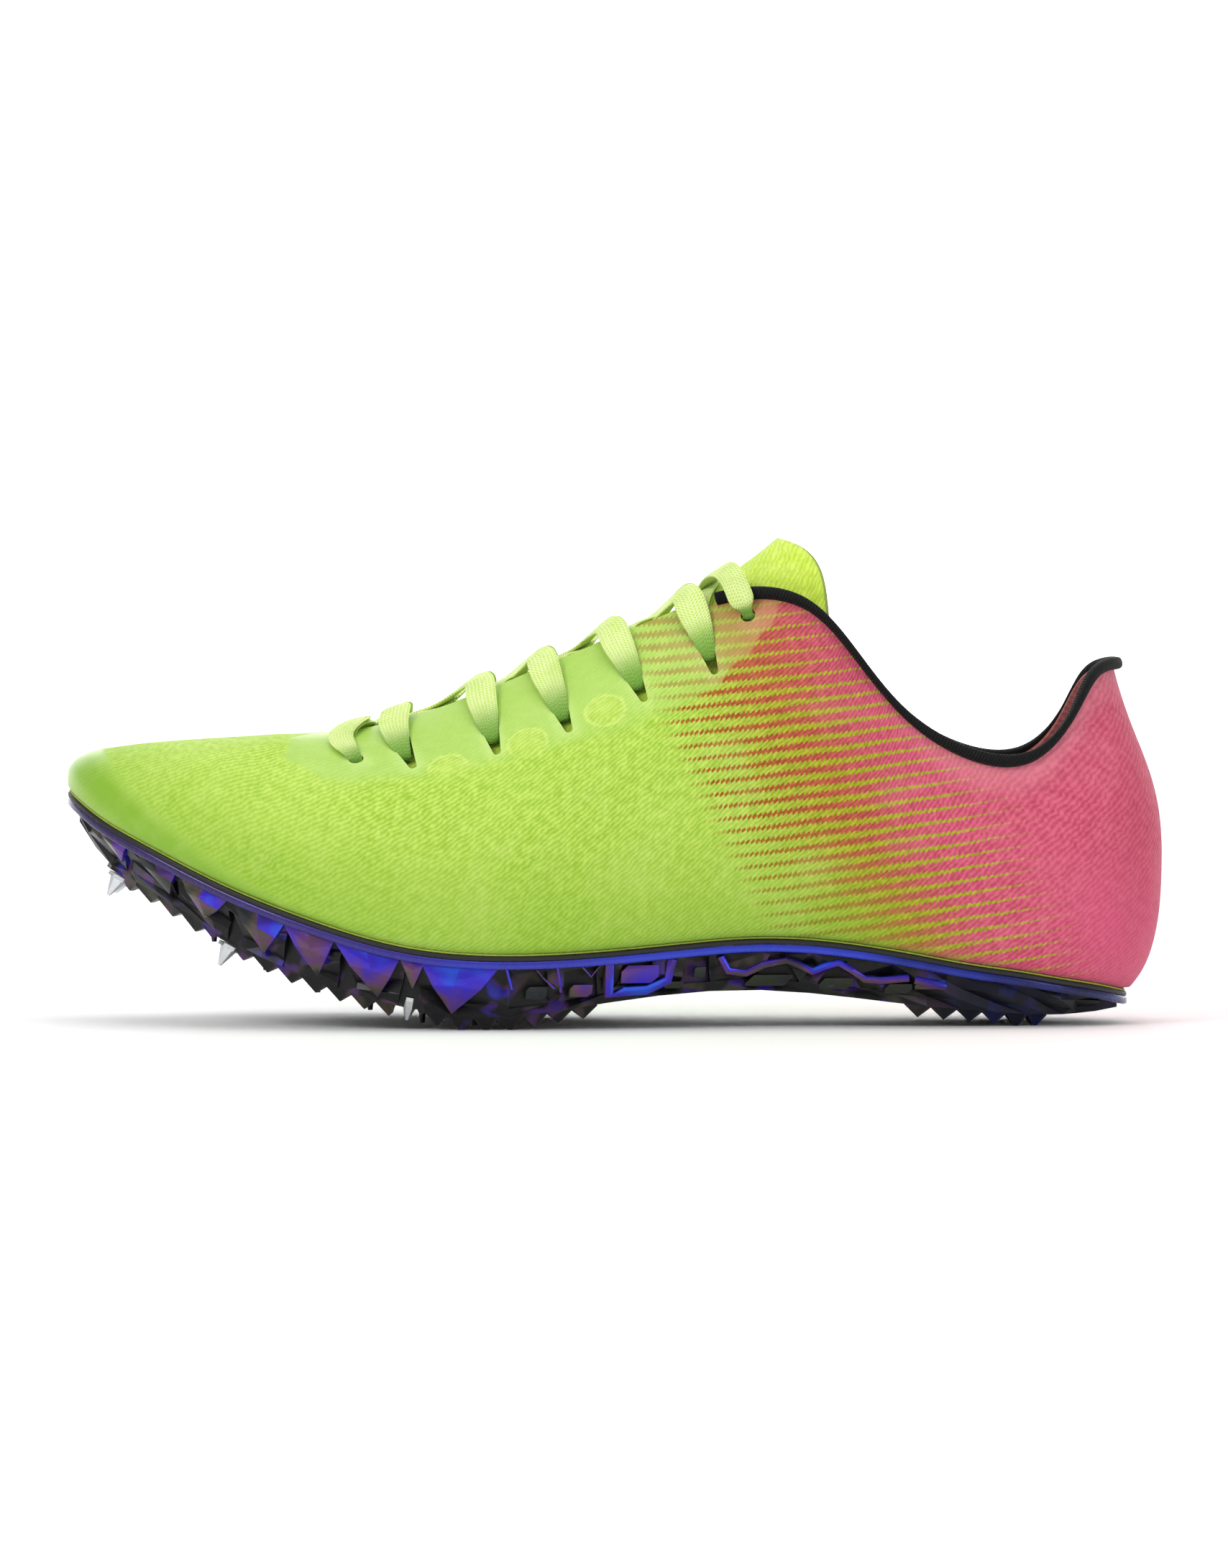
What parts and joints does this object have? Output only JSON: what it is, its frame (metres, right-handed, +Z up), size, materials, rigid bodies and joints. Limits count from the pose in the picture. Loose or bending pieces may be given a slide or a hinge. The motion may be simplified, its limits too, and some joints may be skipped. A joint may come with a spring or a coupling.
{
  "type": "track spike shoe",
  "caption": "Low-cut running shoe with a thin textile upper, laced throat, padded tongue and a toothed rigid sole plate that carries small conical metal pins.",
  "frame": {"origin": "on the floor, under the middle of the shoe's box", "axes": "+X from toe to heel, +Y from the lateral to the medial side, +Z up"},
  "size_m": [0.2803, 0.0936, 0.124],
  "materials": {
    "upper_textile": "fine diagonal weave, lime toe to pink heel",
    "binding": "soft black knitted tape",
    "tongue": "soft bright lime textile",
    "insole": "dark matt foam",
    "plate": "glossy iridescent blue, violet and black",
    "lace": "flat woven pale lime lace",
    "pin": "satin steel"
  },
  "bodies": {
    "root": {"upper": "upper_textile", "collar_binding": "binding", "tongue": "tongue", "insole": "insole", "spike_plate": "plate", "lace_crossing_1": "lace", "lace_crossing_2": "lace", "lace_crossing_3": "lace", "lace_crossing_4": "lace", "lace_crossing_5": "lace", "lace_crossing_6": "lace", "pin_1": "pin", "pin_2": "pin", "pin_3": "pin", "pin_4": "pin", "pin_5": "pin", "pin_6": "pin"}
  },
  "joints": []
}
